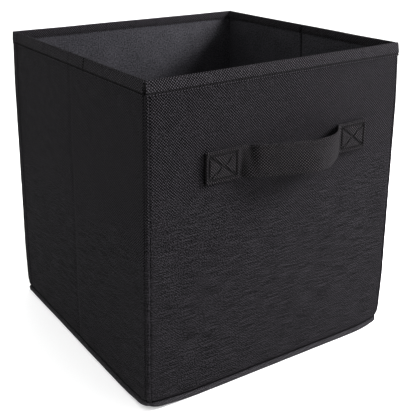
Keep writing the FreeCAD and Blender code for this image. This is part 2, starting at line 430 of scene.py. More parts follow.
def felt_group():
    """Non-woven lining: matted fibres pressed together in a pattern of small dots."""
    group, n, given, out = shader_group(
        "pressed_felt",
        {"Dot Spacing": 0.0016, "Dot Strength": 1.0, "Fibre Strength": 1.0},
        ("Light", "Height"),
    )
    place = given["Place"]
    split = n.add("ShaderNodeSeparateXYZ", {0: place})
    u, v = split.outputs[0], split.outputs[1]
    rising = n.math("MULTIPLY", n.math("ADD", u, v), math.sqrt(0.5))
    falling = n.math("MULTIPLY", n.math("SUBTRACT", u, v), math.sqrt(0.5))
    dots = n.math("MULTIPLY", n.wave(rising, given["Dot Spacing"]), n.wave(falling, given["Dot Spacing"]))
    dots = n.math("MULTIPLY", dots, given["Dot Strength"])
    fibre = n.math("SUBTRACT", n.noise(place, 700.0, 3.0, 0.7), 0.5)
    fibre = n.math("MULTIPLY", fibre, given["Fibre Strength"])
    cloudy = n.math("SUBTRACT", n.noise(place, 40.0, 3.0, 0.6), 0.5)
    light = n.math("ADD", n.math("MULTIPLY", dots, 0.22), n.math("MULTIPLY", fibre, 2.2))
    n.put(out["Light"], n.math("ADD", light, n.math("MULTIPLY", cloudy, 0.5)))
    n.put(out["Height"], n.math("ADD", n.math("MULTIPLY", dots, 0.6), fibre))
    return group


def lint_group():
    """A little pale lint caught in dark cloth."""
    group, n, given, out = shader_group("lint", {"Amount": 0.5}, ("Mask",))
    place = given["Place"]
    spots = n.add("ShaderNodeTexVoronoi", {"Vector": place, "Scale": 160.0, "Randomness": 1.0})
    near = n.ramp(spots.outputs["Distance"], 0.05, 0.10, 1.0, 0.0)
    chosen = n.ramp(n.noise(place, 60.0, 1.0), 0.66, 0.70)
    n.put(out["Mask"], n.math("MULTIPLY", n.math("MULTIPLY", near, chosen), given["Amount"]))
    return group


WEAVE = linen_weave_group()
FELT = felt_group()
LINT = lint_group()


# ---------------------------------------------------------------- materials

MEAN_TONE = 0.36
PALEST_TONE = 2.5
# How far the painted shade in seams, creases and grooves darkens a cloth's colour, at most
CREASE_SHADE = 0.85


def rgb(red, green, blue):
    """An opaque colour."""
    return (red, green, blue, 1.0)


LINT_COLOUR = rgb(0.16, 0.15, 0.15)


def new_material(name, specular):
    """A material: (material, its node adder, its shader)."""
    material = bpy.data.materials.new(name)
    material.use_nodes = True
    shader = material.node_tree.nodes["Principled BSDF"]
    shader.inputs["Specular IOR Level"].default_value = specular
    return material, Nodes(material.node_tree), shader


def cloth_material(name, dark, pale, texture, values, bump, roughness=0.85, specular=0.03, lint=0.5):
    """A cloth that runs from its dark hollows to its pale yarn tops."""
    material, n, shader = new_material(name, specular)
    place = n.add("ShaderNodeUVMap", uv_map="cloth").outputs[0]
    weave = n.add("ShaderNodeGroup", {"Place": place, **values}, node_tree=texture)
    tone = n.math("ADD", weave.outputs["Light"], MEAN_TONE)
    tone = n.math("MINIMUM", n.math("MAXIMUM", tone, 0.0), PALEST_TONE)
    cloth = n.mix(tone, dark, pale, clamp=False)
    fluff = n.add("ShaderNodeGroup", {"Place": place, "Amount": lint}, node_tree=LINT)
    cloth = n.mix(fluff.outputs["Mask"], cloth, LINT_COLOUR)
    # Painted shade: the crease attribute darkens the cloth's colour towards black where shade falls in seams,
    # folds and grooves
    painted_shade = n.add("ShaderNodeAttribute", attribute_name="crease").outputs["Fac"]
    n.put(shader.inputs["Base Color"], n.mix(n.math("MULTIPLY", painted_shade, CREASE_SHADE), cloth, rgb(0, 0, 0)))
    n.put(shader.inputs["Roughness"], n.ramp(tone, 0.0, 1.0, min(1.0, roughness + 0.1), roughness - 0.1))
    n.relief(shader, weave.outputs["Height"], bump)
    return material


linen = cloth_material(
    "black_linen",
    rgb(0.0003, 0.0003, 0.0004),
    rgb(0.0184, 0.0172, 0.0194),
    WEAVE,
    {"Rib Strength": 1.0, "Slub Strength": 0.8, "Grain Strength": 1.0},
    0.55 * MM,
)
hem_linen = cloth_material(
    "black_hem_linen",
    rgb(0.0005, 0.0005, 0.0005),
    rgb(0.0285, 0.0267, 0.0298),
    WEAVE,
    {"Rib Strength": 1.3, "Slub Strength": 0.3, "Grain Strength": 1.0},
    0.55 * MM,
)
strap_linen = cloth_material(
    "black_strap_linen",
    rgb(0.0003, 0.0003, 0.0003),
    rgb(0.0218, 0.0202, 0.0216),
    WEAVE,
    {"Rib Strength": 1.0, "Slub Strength": 0.2, "Grain Strength": 0.8, "Worn Below": -1.0},
    0.5 * MM,
)
seam_linen = cloth_material(
    "black_seam_linen",
    rgb(0.0010, 0.0010, 0.0011),
    rgb(0.0385, 0.0366, 0.0402),
    WEAVE,
    {"Rib Strength": 0.5, "Slub Strength": 0.3, "Grain Strength": 0.9, "Worn Below": -1.0},
    0.2 * MM,
    roughness=0.7,
)
lining = cloth_material(
    "black_lining_felt",
    rgb(0.0040, 0.0039, 0.0047),
    rgb(0.0385, 0.0378, 0.0436),
    FELT,
    {"Dot Strength": 1.0, "Fibre Strength": 1.5},
    0.2 * MM,
    roughness=0.58,
    specular=0.08,
    lint=0.1,
)
insert_felt = cloth_material(
    "black_insert_felt",
    rgb(0.0040, 0.0039, 0.0046),
    rgb(0.0450, 0.0444, 0.0512),
    FELT,
    {"Dot Strength": 0.8, "Fibre Strength": 1.2, "Dot Spacing": 0.002},
    0.2 * MM,
    roughness=0.75,
)


def thread_material():
    """Twisted black sewing thread."""
    material, n, shader = new_material("black_thread", 0.1)
    given = {"Vector": n.add("ShaderNodeTexCoord").outputs["Object"], "Scale": 900.0, "Distortion": 2.0}
    twist = n.add("ShaderNodeTexWave", given, bands_direction="DIAGONAL").outputs["Fac"]
    n.put(shader.inputs["Base Color"], n.mix(twist, rgb(0.001, 0.001, 0.001), rgb(0.007, 0.0068, 0.0072)))
    n.put(shader.inputs["Roughness"], n.ramp(twist, 0.0, 1.0, 0.75, 0.55))
    n.relief(shader, twist, 0.1 * MM)
    return material


def board_material():
    """Grey-brown stiffening board with flecks of fibre."""
    material, n, shader = new_material("kraft_board", 0.5)
    place = n.add("ShaderNodeTexCoord").outputs["Object"]
    flecks = n.noise(place, 900.0, 4.0, 0.7)
    clouds = n.noise(place, 30.0, 3.0, 0.6)
    tone = n.math("ADD", n.math("MULTIPLY", flecks, 0.6), n.math("MULTIPLY", clouds, 0.4))
    colour = n.mix(n.ramp(tone, 0.35, 0.65), rgb(0.20, 0.14, 0.085), rgb(0.40, 0.30, 0.20))
    n.put(shader.inputs["Base Color"], colour)
    n.put(shader.inputs["Roughness"], n.ramp(flecks, 0.3, 0.7, 0.95, 0.8))
    n.relief(shader, flecks, 0.15 * MM)
    return material


thread = thread_material()
board = board_material()


# ---------------------------------------------------------------- walls

CLOTH_CELL = 2.6 * MM
BOARD_CELL = 20.0 * MM
SEAM_TUCK = 0.9 * MM
SEAM_TUCK_REACH = 1.3 * MM
FOOT_TUCK = 1.0 * MM
FOOT_TUCK_REACH = 1.6 * MM
CREASE_TUCK = 0.5 * MM
CREASE_REACH = 3.0 * MM
PINCH = 2.0 * MM
PINCH_REACH = 1.3 * MM
PINCH_SHADE_REACH = 1.1 * MM
LAP = 8.5 * MM
LAP_THICKNESS = 0.45 * MM
LAP_BLUR = 0.8 * MM
# Cloth that runs on out of sight: below the wall, under the hem and into the corners
FOOT_RUN = 0.8 * MM
HEM_RUN = 1.0 * MM
LINING_HEM_RUN = 2.0 * MM
FRONT_CORNER_RUN = 0.6 * MM
SIDE_CORNER_RUN = 0.3 * WALL
BOARD_END_GAP = 1.2 * MM
BOARD_FACE_GAP = 0.35 * MM
# How uneven a cloth lies over its board, as (how deep its bumps are, how long)
OUTER_BROAD, OUTER_FINE = (0.35 * MM, 60.0 * MM), (0.12 * MM, 17.0 * MM)
LINING_BROAD, LINING_FINE = (0.5 * MM, 45.0 * MM), (0.15 * MM, 12.0 * MM)
# Extra rows round a crease or a seam: how many, and how far they go, as shares of its reach
CLOSER_COUNT = 13
CLOSER_SPAN = 2.4


def closer(values, centre, reach, cell):
    """Values with extra ones packed round centre, so a crease or a seam is not cut off."""
    extra = centre + reach * np.linspace(-CLOSER_SPAN, CLOSER_SPAN, CLOSER_COUNT)
    inside = extra[(extra > values[0]) & (extra < values[-1])]
    kept = [x for x in values if np.min(np.abs(extra - x)) > 0.3 * cell or x in (values[0], values[-1])]
    return np.array(sorted(set(kept) | set(inside)))


def tuck(distance, depth, reach):
    """How far a cloth turns in, a distance away from the seam that it is sewn into."""
    return depth * math.exp(-((distance / reach) ** 2))


def within(distance, blur):
    """1 well inside an edge, 0 well outside it, and between them over blur."""
    return min(1.0, max(0.0, distance / blur + 0.5))


def uneven(u, v, seed, broad, fine):
    """How far a cloth wanders from flat, in broad bumps and in fine ones."""
    return broad[0] * ripple(u, v, broad[1], seed) + fine[0] * ripple(u, v, fine[1], seed + 9)


def outer_relief(wall, u, v, end, crease):
    """How far the outer cloth lies behind the flat wall at a point: tucked in at its seams and
    at its crease, and a little uneven over its board."""
    depth = uneven(u, v, wall.seed, OUTER_BROAD, OUTER_FINE)
    depth += tuck(end - abs(u), SEAM_TUCK, SEAM_TUCK_REACH)
    depth += tuck(v - ROLL_HEIGHT, FOOT_TUCK, FOOT_TUCK_REACH)
    if crease:
        depth += tuck(u, CREASE_TUCK, CREASE_REACH)
        depth -= LAP_THICKNESS * within(LAP - (end - abs(u)), LAP_BLUR)
    return depth


def wall_grid(end, bottom, top, crease):
    """Where a wall's cloth has its columns and rows: closer together at its seams and creases."""
    us = closer(steps(-end, end, CLOTH_CELL), -end + SEAM_TUCK_REACH, SEAM_TUCK_REACH, CLOTH_CELL)
    us = closer(us, end - SEAM_TUCK_REACH, SEAM_TUCK_REACH, CLOTH_CELL)
    if crease:
        us = closer(us, 0.0, CREASE_REACH, CLOTH_CELL)
        us = closer(us, 0.0, PINCH_REACH, PINCH_REACH)
        us = closer(us, -end + LAP, LAP_BLUR, CLOTH_CELL)
        us = closer(us, end - LAP, LAP_BLUR, CLOTH_CELL)
    vs = closer(steps(bottom, top, CLOTH_CELL), bottom + FOOT_TUCK_REACH, FOOT_TUCK_REACH, CLOTH_CELL)
    return us, vs


def outer_panel(name, side, end, bottom, crease):
    """The outer cloth of one wall."""
    wall = WALLS[side]
    us, vs = wall_grid(end, bottom - FOOT_RUN, HEM_BOTTOM + HEM_RUN, crease)

    def relief(u, v):
        return outer_relief(wall, u, v, end, crease)

    # Painted shade: darker in the tucked seams at its ends and at its foot, and on creased walls along the
    # crease and at the edges of the laps
    def shade(u, v):
        deepest = max(tuck(end - abs(u), 1.0, 0.8 * MM), tuck(v - ROLL_HEIGHT, 1.0, 0.9 * MM))
        if crease:
            deepest = max(deepest, tuck(u, 0.35, 0.7 * MM), tuck(end - LAP - abs(u), 0.45, 0.5 * MM))
        return deepest

    return cloth_shell(name, wall, us, vs, (0.0, OUTER_CLOTH), relief, linen, shade)


FOLD_FROM = (127 * MM, 266 * MM)
FOLD_TO = (-45 * MM, 190 * MM)
FOLD_TOP = 274 * MM
FOLD_DEPTH = 7.0 * MM
FOLD_FALL = 30 * MM


def pulled_fold(u, v):
    """The soft slanting fold in the back lining, pulled from its upper right corner: how far it
    stands in."""
    share = (FOLD_FROM[0] - u) / (FOLD_FROM[0] - FOLD_TO[0])
    if share <= 0 or share >= 1:
        return 0.0
    ridge = FOLD_FROM[1] + share * (FOLD_TO[1] - FOLD_FROM[1])
    height = math.sin(math.pi * share**0.7) ** 1.3
    if v > ridge:
        fall = (FOLD_TOP - v) / (FOLD_TOP - ridge)
        return FOLD_DEPTH * height * max(0.0, fall) ** 1.2
    return FOLD_DEPTH * height * math.exp(-(((ridge - v) / FOLD_FALL) ** 2))


def lining_panel(name, side, end, bottom, crease):
    """The lining of one wall."""
    wall = WALLS[side]
    us, vs = wall_grid(end, bottom, HEM_BOTTOM + INNER_HEM_LIFT + LINING_HEM_RUN, crease)

    def relief(u, v):
        depth = uneven(u, v, wall.seed + 10, LINING_BROAD, LINING_FINE)
        if crease:
            depth -= tuck(u, PINCH, PINCH_REACH)
        if side == "back":
            depth += pulled_fold(u, v)
        return depth

    # Painted shade along the pinched crease
    def shade(u, v):
        return tuck(u, 1.0, PINCH_SHADE_REACH) if crease else 0.0

    return cloth_shell(name, wall, us, vs, (WALL - OUTER_CLOTH, WALL), relief, lining, shade)


def board_panel(node, side, body):
    """A stiffening board, inside its wall."""
    low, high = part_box(node)
    first, last = (low.x, high.x) if side in ("front", "back") else (low.y, high.y)
    us = steps(first + BOARD_END_GAP, last - BOARD_END_GAP, BOARD_CELL)
    vs = steps(low.z, high.z, BOARD_CELL)
    depths = (OUTER_CLOTH + BOARD_FACE_GAP, OUTER_CLOTH + BOARD - BOARD_FACE_GAP)
    made = cloth_shell(node + "_shape", WALLS[side], us, vs, depths, lambda u, v: 0.0, board)
    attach(made, body)
    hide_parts(node)
    return made


# ---------------------------------------------------------------- hem

# The hem's section, as (depth into the wall, height above its lower edge, share of painted shade, dark in its
# grooves and under its lips)
HEM_PROFILE = [
    (1.3, 0.2, 1), (0.2, 0.0, 0.7), (-0.4, 0.1, 0.2), (-0.75, 0.4, 0), (-0.75, 0.9, 0), (0.1, 1.5, 0.9),
    (0.1, 2.1, 0.9), (-0.65, 2.8, 0), (-0.65, 4.0, 0), (-0.3, 6.0, 0), (-0.15, 7.5, 0), (0.05, 9.3, 0),
    (0.35, 10.6, 0), (0.85, 11.3, 0), (1.6, 11.6, 0), (2.3, 11.45, 0), (2.85, 10.9, 0), (3.2, 9.5, 0),
    (3.6, 8.0, 0), (3.9, 6.2, 0), (3.9, 5.6, 0), (3.7, 5.1, 0.35), (3.7, 4.7, 0.35), (4.0, 4.1, 0),
    (4.0, 3.6, 0), (3.85, 3.15, 0.2), (3.3, 3.0, 0.8), (2.2, 3.2, 1),
]
HEM_CELL = 2.0 * MM
INNER_HEM_LIFT = 3.0 * MM
HEM_JOIN = -29 * MM
HEM_STITCH_HEIGHT = 1.8 * MM
INNER_STITCH_HEIGHT = 4.9 * MM
# How far the hem is pressed in, in millimetres: by the middle crease on its inner and its outer
# face, and at its join; and how far it stands out where it laps the corner
INNER_HEM_PINCH = 1.8
OUTER_HEM_PINCH = 0.5
JOIN_DEPTH = 0.6
HEM_LAP_HEIGHT = 0.3


def hem_columns(side, first, last, crease):
    """Where along a wall its hem has a section: closer together at the join, laps and crease."""
    us = steps(first, last, HEM_CELL)
    if side == "left":
        us = closer(us, HEM_JOIN, LAP_BLUR, HEM_CELL)
    if crease:
        us = closer(us, 0.0, PINCH_REACH, PINCH_REACH)
        us = closer(us, first + LAP, LAP_BLUR, HEM_CELL)
        us = closer(us, last - LAP, LAP_BLUR, HEM_CELL)
    return us


def hem_band(name, side, first, last, crease):
    """The folded rim of one wall, with a groove where it is stitched down."""
    wall = WALLS[side]
    lengths = np.linalg.norm(np.diff(np.array(HEM_PROFILE)[:, :2], axis=0), axis=1)
    runs = [0.0, *np.cumsum(lengths)]
    rings, places, painted_shades = [], [], []
    for u in hem_columns(side, first, last, crease):
        ring = []
        join = tuck(u - HEM_JOIN, 1.0, 0.7 * MM) if side == "left" else 0.0
        from_end = last - abs(u)
        lap = within(LAP - from_end, LAP_BLUR) if crease else 0.0
        lap_edge_shade = tuck(from_end - LAP, 0.5, 0.5 * MM) if crease else 0.0
        for (depth, high, shade), run in zip(HEM_PROFILE, runs):
            inner_face = depth >= WALL / MM / 2
            pucker = 0.12 * ripple(u, high * MM * 0.6, 7 * MM, 21.0) + 0.2 * ripple(u, 0, 35 * MM, 22.0)
            sag = 0.25 * ripple(u, 0, 50 * MM, 23.0) * high / ((HEIGHT - HEM_BOTTOM) / MM)
            pressed = JOIN_DEPTH * join - HEM_LAP_HEIGHT * lap
            painted_shade = 0.0
            if crease and inner_face:
                pressed += INNER_HEM_PINCH * tuck(u, 1.0, PINCH_REACH)
                # Painted shade where the pinch presses the inner face in
                painted_shade = tuck(u, 0.9, 0.9 * MM)
            elif crease:
                pressed += OUTER_HEM_PINCH * tuck(u, 1.0, CREASE_REACH)
            depth += pucker + (-pressed if inner_face else pressed)
            ring.append(wall.at(u, HEM_BOTTOM + (high + sag) * MM, depth * MM))
            places.append((wall.cut + u, HEM_BOTTOM + run * MM))
            # Painted shade: in the hem's grooves and under its lips, at its join, at the edges of the laps
            # and at the pinched crease
            painted_shades.append(max(shade, join, lap_edge_shade, painted_shade))
        rings.append(ring)
    return tube(name, rings, places, hem_linen, painted_shades=painted_shades)


# ---------------------------------------------------------------- seams

BEAD_RADIUS = 1.8 * MM
BEAD_CELL = 2.2 * MM
BEAD_SIDES = 14
BEAD_RUN = 1.0 * MM
ROLL_WIDTH = 2.9 * MM
ROLL_INSET = 1.6 * MM
ROLL_CORNER = 1.5 * MM
ROLL_CELL = 2.5 * MM
ROLL_SIDES = 16
ROLL_SQUARENESS = 0.75
# How far the roll stays below its seam's top, and above the floor
ROLL_TOP_GAP = 0.9 * MM
ROLL_FLOOR_GAP = 0.1 * MM


def corner_bead(name, x_sign, y_sign, bottom):
    """The upright seam at a corner: a small roll of cloth between the two walls' tucked edges."""
    centre_x = x_sign * (HALF_WIDTH - BEAD_RADIUS)
    centre_y = y_sign * (HALF_DEPTH - BEAD_RADIUS)
    rings, places = [], []
    for v in steps(bottom - BEAD_RUN, HEM_BOTTOM + BEAD_RUN, BEAD_CELL):
        ring = []
        wide = BEAD_RADIUS * (1 + 0.10 * ripple(0, v, 9 * MM, 31.0 + x_sign + 2 * y_sign))
        for k in range(BEAD_SIDES):
            turn = 2 * math.pi * k / BEAD_SIDES
            x = centre_x + wide * math.cos(turn) + 0.15 * MM * ripple(1, v, 25 * MM, 35.0)
            y = centre_y + wide * math.sin(turn)
            ring.append((x, y, v))
            places.append((wide * turn, v))
        rings.append(ring)
    return tube(name, rings, places, linen)


def rounded_square(half_x, half_y, radius, cell):
    """Points round a rounded rectangle, with the outward direction at each."""
    found = []
    corners = [(1, -1, -90), (1, 1, 0), (-1, 1, 90), (-1, -1, 180)]
    for x_sign, y_sign, start in corners:
        cx, cy = x_sign * (half_x - radius), y_sign * (half_y - radius)
        for turn in np.radians(np.linspace(start, start + 90, max(4, round(radius * 1.57 / cell)))):
            out = np.array([math.cos(turn), math.sin(turn)])
            found.append((np.array([cx, cy]) + out * radius, out))
    whole = []
    for (p, out), (q, out_next) in zip(found, found[1:] + found[:1]):
        pieces = max(1, round(float(np.linalg.norm(q - p)) / cell))
        for i in range(pieces):
            t = i / pieces
            mixed = out * (1 - t) + out_next * t
            whole.append((p * (1 - t) + q * t, mixed / np.linalg.norm(mixed)))
    return whole


def bottom_roll(name):
    """The rolled seam round the bottom."""
    thick = ROLL_HEIGHT / 2
    plan = rounded_square(HALF_WIDTH - ROLL_INSET, HALF_DEPTH - ROLL_INSET, ROLL_CORNER, ROLL_CELL)
    rings, places = [], []
    run = 0.0
    before = plan[0][0]
    for p, out in plan:
        run += float(np.linalg.norm(p - before))
        before = p
        ring = []
        wide = ROLL_WIDTH * (1 + 0.08 * ripple(p[0], p[1], 14 * MM, 41.0))
        for k in range(ROLL_SIDES):
            turn = 2 * math.pi * k / ROLL_SIDES
            c, s = math.cos(turn), math.sin(turn)
            across = wide * math.copysign(abs(c) ** ROLL_SQUARENESS, c)
            gap = ROLL_TOP_GAP if s > 0 else ROLL_FLOOR_GAP
            high = thick + (thick - gap) * math.copysign(abs(s) ** ROLL_SQUARENESS, s)
            ring.append((p[0] + out[0] * across, p[1] + out[1] * across, high))
            places.append((run, wide * turn))
        rings.append(ring)
    return tube(name, rings, places, seam_linen, closed=True)


# ---------------------------------------------------------------- stitches

def stitch_tree():
    """Geometry Nodes: a line of stitches laid along an edge path, each a small rounded thread."""
    tree = bpy.data.node_groups.new("stitch_row", "GeometryNodeTree")
    tree.interface.new_socket(name="Path", in_out="INPUT", socket_type="NodeSocketGeometry")
    for socket, default in (("Pitch", 0.003), ("Length", 0.0022), ("Thickness", 0.0005)):
        made = tree.interface.new_socket(name=socket, in_out="INPUT", socket_type="NodeSocketFloat")
        made.default_value = default
    seed = tree.interface.new_socket(name="Seed", in_out="INPUT", socket_type="NodeSocketInt")
    seed.default_value = 3
    tree.interface.new_socket(name="Thread", in_out="INPUT", socket_type="NodeSocketMaterial")
    tree.interface.new_socket(name="Stitches", in_out="OUTPUT", socket_type="NodeSocketGeometry")
    n = Nodes(tree)
    given = n.add("NodeGroupInput")
    line = n.add("GeometryNodeMeshToCurve", {"Mesh": given.outputs["Path"]})
    spacing = {"Curve": line.outputs[0], "Length": given.outputs["Pitch"]}
    spaced = n.add("GeometryNodeResampleCurve", spacing, mode="LENGTH")
    tangent = n.add("GeometryNodeInputTangent")
    along = {"Vector": tangent.outputs[0]}
    turned = n.add("FunctionNodeAlignRotationToVector", along, axis="X", pivot_axis="AUTO")
    bead = n.add("GeometryNodeMeshUVSphere", {"Segments": 6, "Rings": 5, "Radius": 0.5})
    uneven = n.add(
        "FunctionNodeRandomValue",
        {"Min": (0.85, 0.9, 0.9), "Max": (1.1, 1.1, 1.1), "Seed": given.outputs["Seed"]},
        data_type="FLOAT_VECTOR",
    )
    size = n.add(
        "ShaderNodeCombineXYZ",
        {0: given.outputs["Length"], 1: given.outputs["Thickness"], 2: given.outputs["Thickness"]},
    )
    scale = n.add("ShaderNodeVectorMath", {0: size.outputs[0], 1: uneven.outputs[0]}, operation="MULTIPLY")
    placed = n.add(
        "GeometryNodeInstanceOnPoints",
        {
            "Points": spaced.outputs[0],
            "Instance": bead.outputs["Mesh"],
            "Rotation": turned.outputs[0],
            "Scale": scale.outputs[0],
        },
    )
    real = n.add("GeometryNodeRealizeInstances", {"Geometry": placed.outputs[0]})
    finish = {"Geometry": real.outputs[0], "Material": given.outputs["Thread"]}
    painted = n.add("GeometryNodeSetMaterial", finish)
    out = n.add("NodeGroupOutput")
    n.put(out.inputs["Stitches"], painted.outputs[0])
    return tree


STITCHES = stitch_tree()


def stitches(name, paths, pitch=3.0 * MM, length=2.3 * MM, thickness=0.55 * MM):
    """Rows of stitches along paths, each a list of points that have settled already."""
    mesh = bpy.data.meshes.new(name + "_paths")
    points, edges = [], []
    for path in paths:
        first = len(points)
        points += [tuple(p) for p in path]
        edges += [(first + i, first + i + 1) for i in range(len(path) - 1)]
    mesh.from_pydata(points, edges, [])
    rows = new_object(name + "_paths", mesh)
    modifier = rows.modifiers.new("stitch_row", "NODES")
    modifier.node_group = STITCHES
    sockets = {s.name: s.identifier for s in STITCHES.interface.items_tree if s.in_out == "INPUT"}
    modifier[sockets["Pitch"]] = pitch
    modifier[sockets["Length"]] = length
    modifier[sockets["Thickness"]] = thickness
    modifier[sockets["Thread"]] = thread
    graph = bpy.context.evaluated_depsgraph_get()
    graph.update()
    made_mesh = bpy.data.meshes.new_from_object(rows.evaluated_get(graph))
    made_mesh.name = name
    made_mesh.polygons.foreach_set("use_smooth", [True] * len(made_mesh.polygons))
    made = new_object(name, made_mesh)
    bpy.data.objects.remove(rows)
    return made


def hem_paths(side, first, last):
    """Where the hem of one wall is stitched: a row outside and a row inside."""
    wall = WALLS[side]
    us = steps(first, last, 4 * MM)
    rows = []
    for depth, high in ((0.0, HEM_STITCH_HEIGHT), (WALL + 0.2 * MM, INNER_STITCH_HEIGHT)):
        rows.append(settle([wall.at(u, HEM_BOTTOM + high, depth) for u in us]))
    return rows


# ---------------------------------------------------------------- handle

def smooth_through(knots, x):
    """The value at x on a smooth curve through (place, value) knots."""
    xs = [k[0] for k in knots]
    ys = [k[1] for k in knots]
    if x <= xs[0]:
        return ys[0]
    if x >= xs[-1]:
        return ys[-1]
    slopes = []
    for i in range(len(xs)):
        if i in (0, len(xs) - 1):
            slopes.append(0.0)
            continue
        left = (ys[i] - ys[i - 1]) / (xs[i] - xs[i - 1])
        right = (ys[i + 1] - ys[i]) / (xs[i + 1] - xs[i])
        slopes.append(0.0 if left * right <= 0 else 2 * left * right / (left + right))
    i = max(k for k in range(len(xs) - 1) if xs[k] <= x)
    h = xs[i + 1] - xs[i]
    t = (x - xs[i]) / h
    return (
        ys[i] * (1 + 2 * t) * (1 - t) ** 2
        + slopes[i] * h * t * (1 - t) ** 2
        + ys[i + 1] * t * t * (3 - 2 * t)
        + slopes[i + 1] * h * t * t * (t - 1)
    )


# How far the strap's middle line stands from the wall at its lower and upper edges, as
# (millimetres along the wall from its left end, millimetres out)
LOWER_BOW = [
    (0, 1.6), (36, 1.6), (38, 5.4), (41, 8.6), (46, 10.8), (58, 15.2), (73, 21.0), (88, 26.4),
    (98, 27.8), (107, 26.0), (116, 21.6), (126, 15.0), (135, 8.2), (141, 2.8), (144, 1.7), (174, 1.6),
]
UPPER_BOW = [
    (0, 1.6), (43.5, 1.6), (45.5, 4.8), (48.5, 7.8), (53, 9.8), (60, 12.4), (73, 16.8), (86, 20.0),
    (98, 22.8), (108, 23.2), (118, 21.0), (127, 16.0), (135.5, 8.2), (140.5, 3.0), (143, 1.8), (174, 1.6),
]
# The strap's mesh: the length of its cells, and its rows as shares of its height, which lie
# close together at its rounded edges
SEWN_CELL = 0.75 * MM
FREE_CELL = 1.4 * MM
STRAP_ROWS = [0.0, 0.012, 0.03, 0.06, *np.linspace(0.09, 0.91, 33), 0.94, 0.97, 0.988, 1.0]
ROUND_EDGE = 0.04
# The row that the strap's own length is measured along, and how far apart its slope is taken
LENGTH_ROW = 12
SLOPE_STEP = 0.2 * MM
# How deep the stitching pulls each face in, and the sine of the most that the strap may lean
QUILTING = 1.1 * MM
MOST_LEAN = 0.9


def sewn_share(x):
    """How much of the sewn, doubled end a place along the strap belongs to: 1 in it, 0 clear of it."""
    inside = max(SEWN_LENGTH - (x - STRAP_LEFT), SEWN_LENGTH - (STRAP_RIGHT - x))
    return within(inside, 2.0 * MM)


def box_distance(x, z):
    """How far a place on a sewn end is from the crossed box of stitching."""
    from_left = x - STRAP_LEFT
    along = from_left if from_left < SEWN_LENGTH * 1.5 else STRAP_RIGHT - x
    half_long = SEWN_LENGTH / 2 - THREAD_INSET
    half_high = STRAP_HEIGHT / 2 - THREAD_INSET
    dx = along - SEWN_LENGTH / 2
    dz = z - STRAP_MIDDLE
    if abs(dx) > half_long or abs(dz) > half_high:
        return math.hypot(max(abs(dx) - half_long, 0), max(abs(dz) - half_high, 0))
    edge = min(half_long - abs(dx), half_high - abs(dz))
    cross = abs(abs(dx) * half_high - abs(dz) * half_long) / math.hypot(half_long, half_high)
    return min(edge, cross)


def strap_half_thickness(x, z):
    """Half the strap's thickness: doubled at the sewn ends, pulled down by the stitching, and
    thin at its folded edges."""
    share = sewn_share(x)
    edge = STRAP_HEIGHT / 2 - abs(z - STRAP_MIDDLE)
    half = STRAP_THICKNESS / 2 + share * (SEWN_THICKNESS - STRAP_THICKNESS) / 2
    half -= share * tuck(box_distance(x, z), QUILTING, 0.9 * MM)
    half += (0.1 + 0.25 * share) * MM * tuck(edge - 1.2 * MM, 1.0, 0.8 * MM)
    half += 0.1 * MM * ripple(x, z, 9 * MM, 52.0)
    return max(half, 0.45 * MM)


def strap_shade(x, z):
    """Painted shade on the strap, from 0 to 1: dark in the grooves of its quilting and at its two ends."""
    share = sewn_share(x) * tuck(box_distance(x, z), 1.0, 0.7 * MM)
    return max(share, tuck(min(x - STRAP_LEFT, STRAP_RIGHT - x), 1.0, 0.9 * MM))


def strap_place(x, share_up):
    """Where the strap's middle line is at x along the wall and share_up from its lower to its upper
    edge: (how far it stands from the wall, its height)."""
    along = (x - STRAP_LEFT) / MM
    low = smooth_through(LOWER_BOW, along)
    high = smooth_through(UPPER_BOW, along)
    bow = (low + (high - low) * share_up) * MM
    lean = math.asin(max(-MOST_LEAN, min(MOST_LEAN, (low - high) * MM / STRAP_HEIGHT)))
    return bow, STRAP_MIDDLE + (share_up - 0.5) * STRAP_HEIGHT * math.cos(lean)


def strap_mesh(name):
    """The whole handle strap, sewn flat at both ends and bowed out between them."""
    sewn = SEWN_LENGTH + 2.0 * MM
    left_end = steps(STRAP_LEFT, STRAP_LEFT + sewn, SEWN_CELL)
    free = steps(STRAP_LEFT + sewn, STRAP_RIGHT - sewn, FREE_CELL)
    right_end = steps(STRAP_RIGHT - sewn, STRAP_RIGHT, SEWN_CELL)
    xs = [*left_end, *free[1:-1], *right_end]
    heights = [STRAP_LOW + share * STRAP_HEIGHT for share in STRAP_ROWS]
    outer, inner, runs = [], [], []
    run = 0.0
    for i, x in enumerate(xs):
        from_end = min(i, len(xs) - 1 - i)
        for share, flat_z in zip(STRAP_ROWS, heights):
            bow, z = strap_place(x, share)
            after = strap_place(x + SLOPE_STEP, share)[0]
            before = strap_place(x - SLOPE_STEP, share)[0]
            slope = (after - before) / (2 * SLOPE_STEP)
            normal = np.array([slope, 1.0]) / math.hypot(slope, 1.0)
            round_off = math.sqrt(max(0.0, 1 - max(0.0, 1 - min(share, 1 - share) / ROUND_EDGE) ** 2))
            round_off *= min(1.0, 0.55 + 0.25 * from_end)
            half = strap_half_thickness(x, flat_z) * max(0.08, round_off)
            outer.append((x - normal[0] * half, -HALF_DEPTH - bow - normal[1] * half, z))
            inner.append((x + normal[0] * half, -HALF_DEPTH - bow + normal[1] * half, z))
        if i:
            measured = outer[LENGTH_ROW :: len(STRAP_ROWS)]
            run += math.hypot(x - xs[i - 1], measured[-1][1] - measured[-2][1])
        runs.append(run)
    places = [(run, share * STRAP_HEIGHT) for run in runs for share in STRAP_ROWS] * 2
    flat = [(x, z) for x in xs for z in heights]
    # Painted shade on the strap's outer face
    painted_shades = [strap_shade(x, z) for x, z in flat]
    # Painted shade on its inner face, against the wall: dark all over the sewn ends
    under = [max(crease, sewn_share(x)) for crease, (x, _) in zip(painted_shades, flat)]
    faces = shell_faces(len(xs), len(STRAP_ROWS))
    return finish_mesh(name, settle(outer + inner), faces, places, strap_linen, 60, painted_shades + under)


